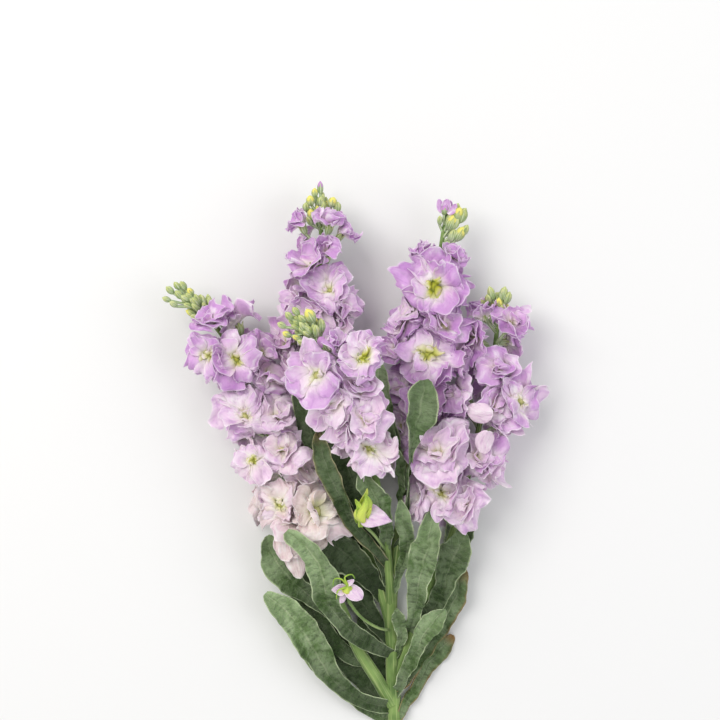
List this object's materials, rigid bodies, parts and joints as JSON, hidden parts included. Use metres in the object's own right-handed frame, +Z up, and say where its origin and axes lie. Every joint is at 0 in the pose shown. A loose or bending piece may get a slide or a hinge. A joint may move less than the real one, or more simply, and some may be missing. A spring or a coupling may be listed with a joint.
{
  "type": "stock flower stem",
  "caption": "Cut branching stem of double stock lying down, with lilac flower spikes, bud tips and long grey-green leaves.",
  "frame": {"origin": "on the table, under the fork of the stem, in the middle of the flat strip that the stem rests on", "axes": "+Y along the stem from the cut end towards the flowers, +X to the right seen from above, +Z up from the table"},
  "size_m": [0.2155, 0.3948, 0.0783],
  "materials": {
    "stem": "matt, finely felted",
    "leaf": "matt, finely felted",
    "petal": "soft, slightly translucent"
  },
  "bodies": {
    "root": {"stem": "stem", "blooms_left": "petal", "blooms_tall_left": "petal", "blooms_front": "petal", "blooms_tall_right": "petal", "blooms_right": "petal", "side_bloom_upper": "petal", "side_bloom_lower": "petal", "leaf_upper_right": "leaf", "leaf_centre_blue": "leaf", "leaf_centre_narrow": "leaf", "leaf_left_long": "leaf", "leaf_left_back": "leaf", "leaf_left_inner": "leaf", "leaf_centre_pointed": "leaf", "leaf_centre_low": "leaf", "leaf_right_paddle": "leaf", "leaf_right_back": "leaf", "leaf_right_brown": "leaf", "leaf_right_lowest": "leaf", "leaf_right_middle": "leaf", "leaf_centre_small": "leaf", "leaf_left_curl": "leaf", "leaf_left_up": "leaf", "leaf_left_low": "leaf", "leaf_left_lowest": "leaf", "leaf_dark_middle": "leaf", "leaf_dark_low": "leaf", "leaf_dark_floor": "leaf", "leaf_fork_floor": "leaf", "leaf_left_floor": "leaf", "leaf_left_under": "leaf", "leaf_right_under": "leaf"}
  },
  "joints": []
}
